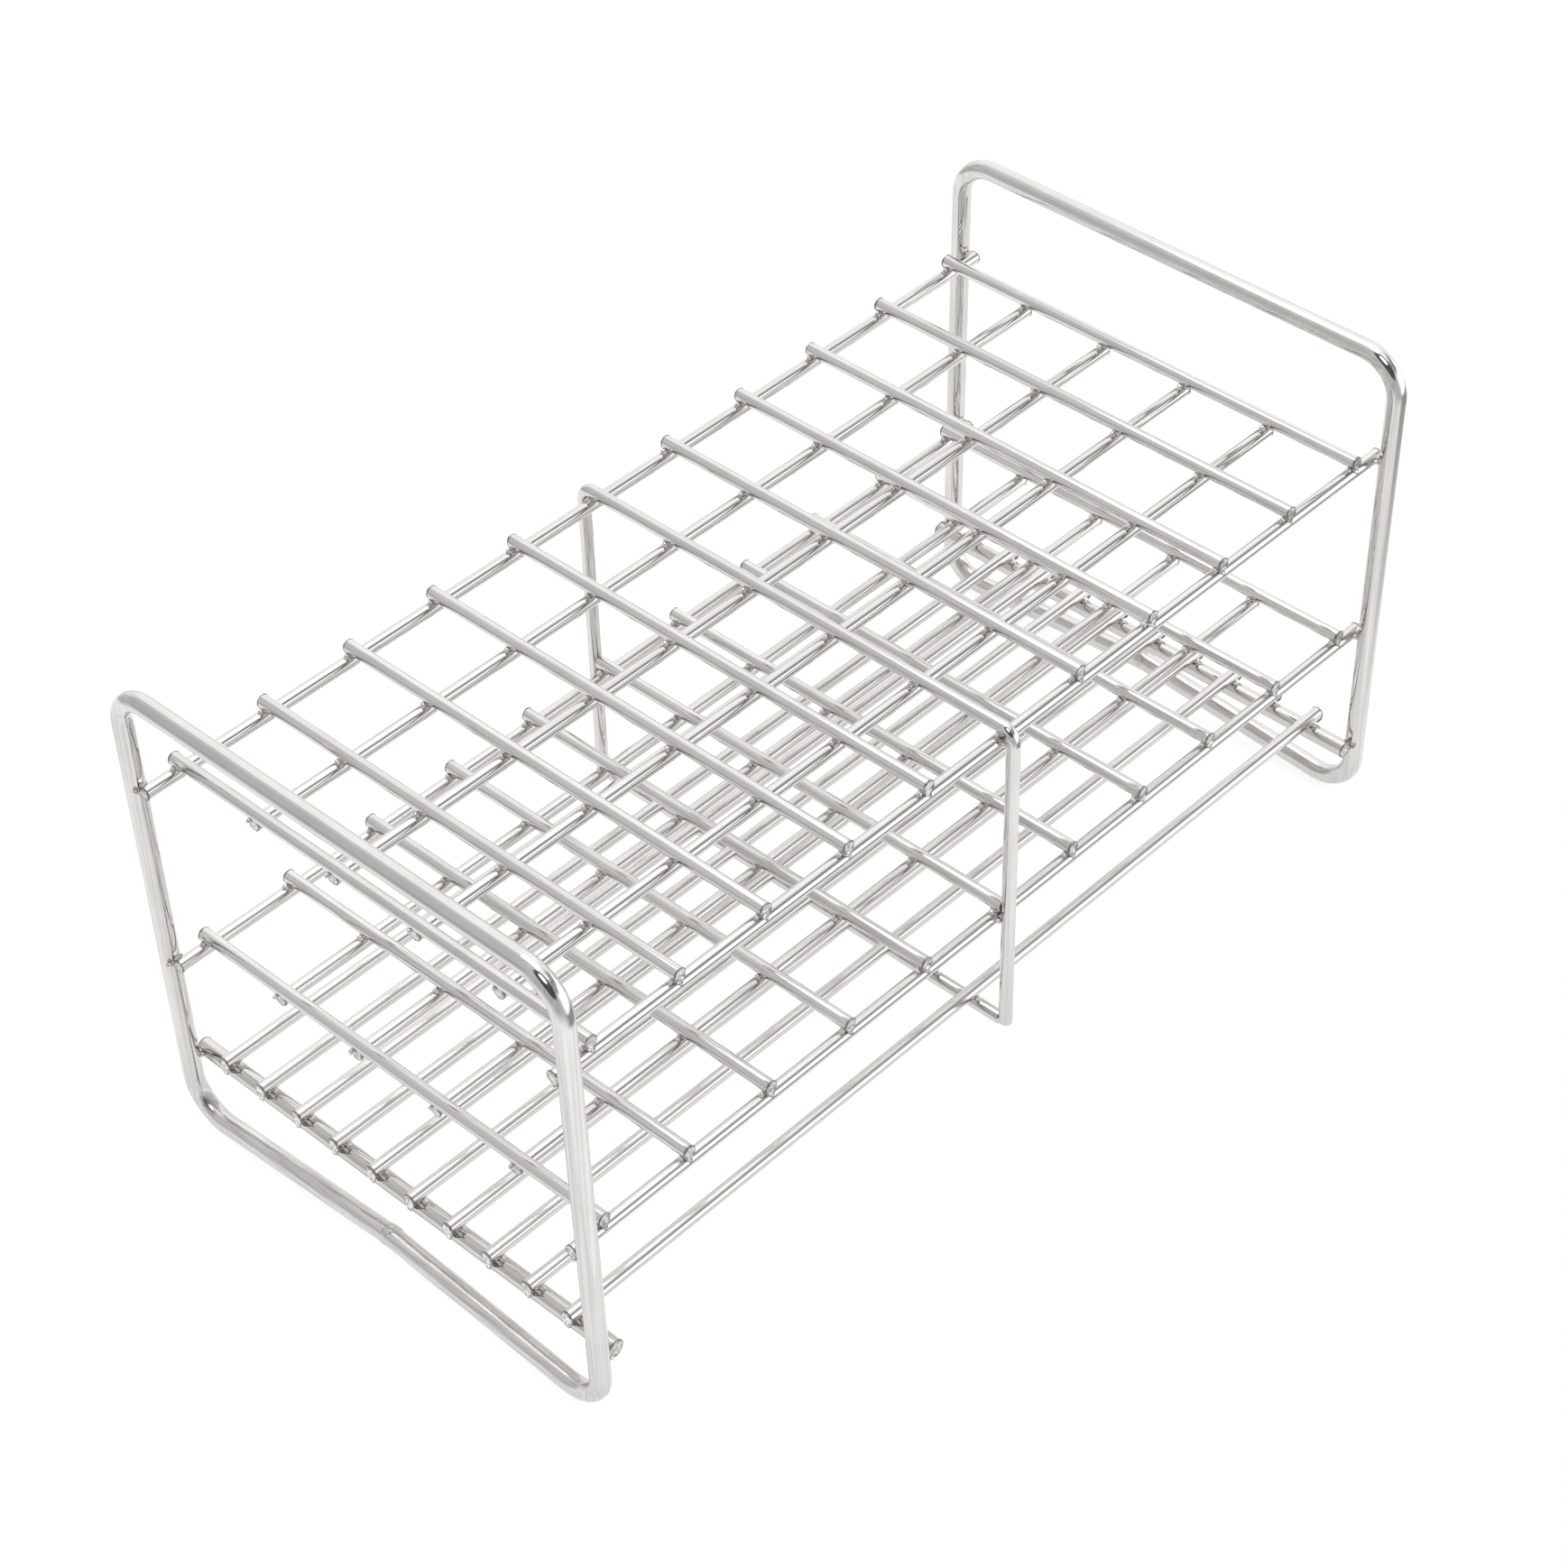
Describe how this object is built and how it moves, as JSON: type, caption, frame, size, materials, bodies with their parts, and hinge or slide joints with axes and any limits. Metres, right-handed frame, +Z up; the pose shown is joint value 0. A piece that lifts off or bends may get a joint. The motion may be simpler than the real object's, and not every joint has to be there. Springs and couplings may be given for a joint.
{
  "type": "test tube rack",
  "caption": "Welded round-wire rack: three open tiers between two closed end frames, with a bent centre support, holding upright test tubes in square cells.",
  "frame": {"origin": "on the table under the middle of the rack", "axes": "+X along the rack towards the right end frame, +Y across it, +Z up"},
  "size_m": [0.2516, 0.126, 0.122],
  "materials": {
    "grid_wire": "bright drawn stainless steel wire",
    "frame_rod": "drawn stainless steel rod, electropolished",
    "crossbar_rod": "drawn stainless steel rod, electropolished"
  },
  "bodies": {
    "root": {"end_frame_left": "frame_rod", "end_frame_right": "frame_rod", "centre_support": "grid_wire", "centre_foot_bar": "grid_wire", "bottom_crossbar_left": "crossbar_rod", "bottom_crossbar_right": "crossbar_rod", "top_long_wire_1": "grid_wire", "top_long_wire_2": "grid_wire", "top_long_wire_3": "grid_wire", "top_long_wire_4": "grid_wire", "top_long_wire_5": "grid_wire", "top_long_wire_6": "grid_wire", "top_cross_wire_1": "grid_wire", "top_cross_wire_2": "grid_wire", "top_cross_wire_3": "grid_wire", "top_cross_wire_4": "grid_wire", "top_cross_wire_5": "grid_wire", "top_cross_wire_7": "grid_wire", "top_cross_wire_8": "grid_wire", "top_cross_wire_9": "grid_wire", "top_cross_wire_10": "grid_wire", "top_cross_wire_11": "grid_wire", "middle_long_wire_1": "grid_wire", "middle_long_wire_2": "grid_wire", "middle_long_wire_3": "grid_wire", "middle_long_wire_4": "grid_wire", "middle_long_wire_5": "grid_wire", "middle_long_wire_6": "grid_wire", "middle_cross_wire_1": "grid_wire", "middle_cross_wire_2": "grid_wire", "middle_cross_wire_3": "grid_wire", "middle_cross_wire_4": "grid_wire", "middle_cross_wire_5": "grid_wire", "middle_cross_wire_6": "grid_wire", "middle_cross_wire_7": "grid_wire", "middle_cross_wire_8": "grid_wire", "middle_cross_wire_9": "grid_wire", "middle_cross_wire_10": "grid_wire", "middle_cross_wire_11": "grid_wire", "bottom_long_wire_1": "grid_wire", "bottom_long_wire_2": "grid_wire", "bottom_long_wire_3": "grid_wire", "bottom_long_wire_4": "grid_wire", "bottom_long_wire_5": "grid_wire", "bottom_long_wire_6": "grid_wire", "bottom_long_wire_7": "grid_wire", "bottom_long_wire_8": "grid_wire", "bottom_long_wire_9": "grid_wire", "bottom_long_wire_10": "grid_wire"}
  },
  "joints": []
}
